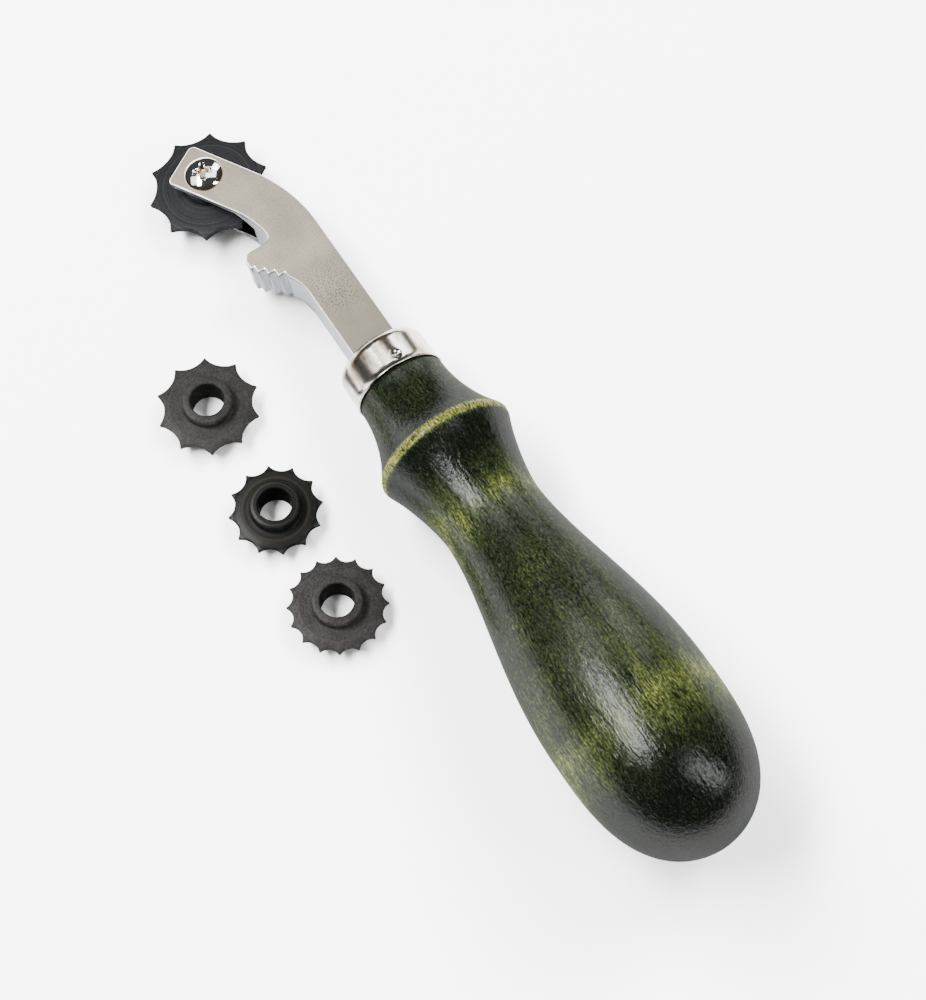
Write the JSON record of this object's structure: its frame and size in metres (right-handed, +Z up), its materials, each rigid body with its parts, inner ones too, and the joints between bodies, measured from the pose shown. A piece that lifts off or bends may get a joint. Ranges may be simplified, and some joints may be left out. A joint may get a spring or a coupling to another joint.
{
  "type": "stitch marking wheel",
  "caption": "Leatherworking pricking wheel: toothed wheel in a steel fork on a turned wooden handle, with spare wheels beside it.",
  "frame": {"origin": "middle of the layout's footprint, on the surface that the tool and its spare wheels lie on", "axes": "+X from the head along the tool to the butt of the handle, +Z up, and the spare wheels lie on the -Y side"},
  "size_m": [0.1197, 0.0389, 0.0251],
  "materials": {
    "stained_wood": "green-black stain under gloss lacquer",
    "ferrule_nickel": "polished nickel plate on pressed sheet",
    "fork_nickel": "satin nickel plate over a grainy casting",
    "screw_chrome": "bright chrome plate",
    "mounted_wheel_oxide": "black oxide over turned steel",
    "spare_wheel_oxide": "matt black oxide over turned steel"
  },
  "bodies": {
    "tool": {"handle": "stained_wood", "ferrule": "ferrule_nickel", "wheel_fork": "fork_nickel"},
    "mounted_wheel": {"marking_wheel_5": "mounted_wheel_oxide"},
    "axle": {"axle_screw": "screw_chrome"},
    "spare_6": {"marking_wheel_6": "spare_wheel_oxide"},
    "spare_8": {"marking_wheel_8": "spare_wheel_oxide"},
    "spare_10": {"marking_wheel_10": "spare_wheel_oxide"}
  },
  "joints": [
    {"name": "wheel_spin", "type": "hinge", "parent": "tool", "child": "mounted_wheel", "pos_m": [-0.0518, 0.003, 0.00373], "axis": [-0.1031, -0.0595, 0.9929], "continuous": true},
    {"name": "axle_screw_withdraw", "type": "slide", "parent": "tool", "child": "axle", "axis": [-0.1031, -0.0595, 0.9929], "range_m": [0, 0.009]},
    {"name": "spare_6_lift", "type": "slide", "parent": "tool", "child": "spare_6", "axis": [0, 0, 1], "range_m": [0, 0.03]},
    {"name": "spare_8_lift", "type": "slide", "parent": "tool", "child": "spare_8", "axis": [0, 0, 1], "range_m": [0, 0.03]},
    {"name": "spare_10_lift", "type": "slide", "parent": "tool", "child": "spare_10", "axis": [0, 0, 1], "range_m": [0, 0.03]}
  ]
}
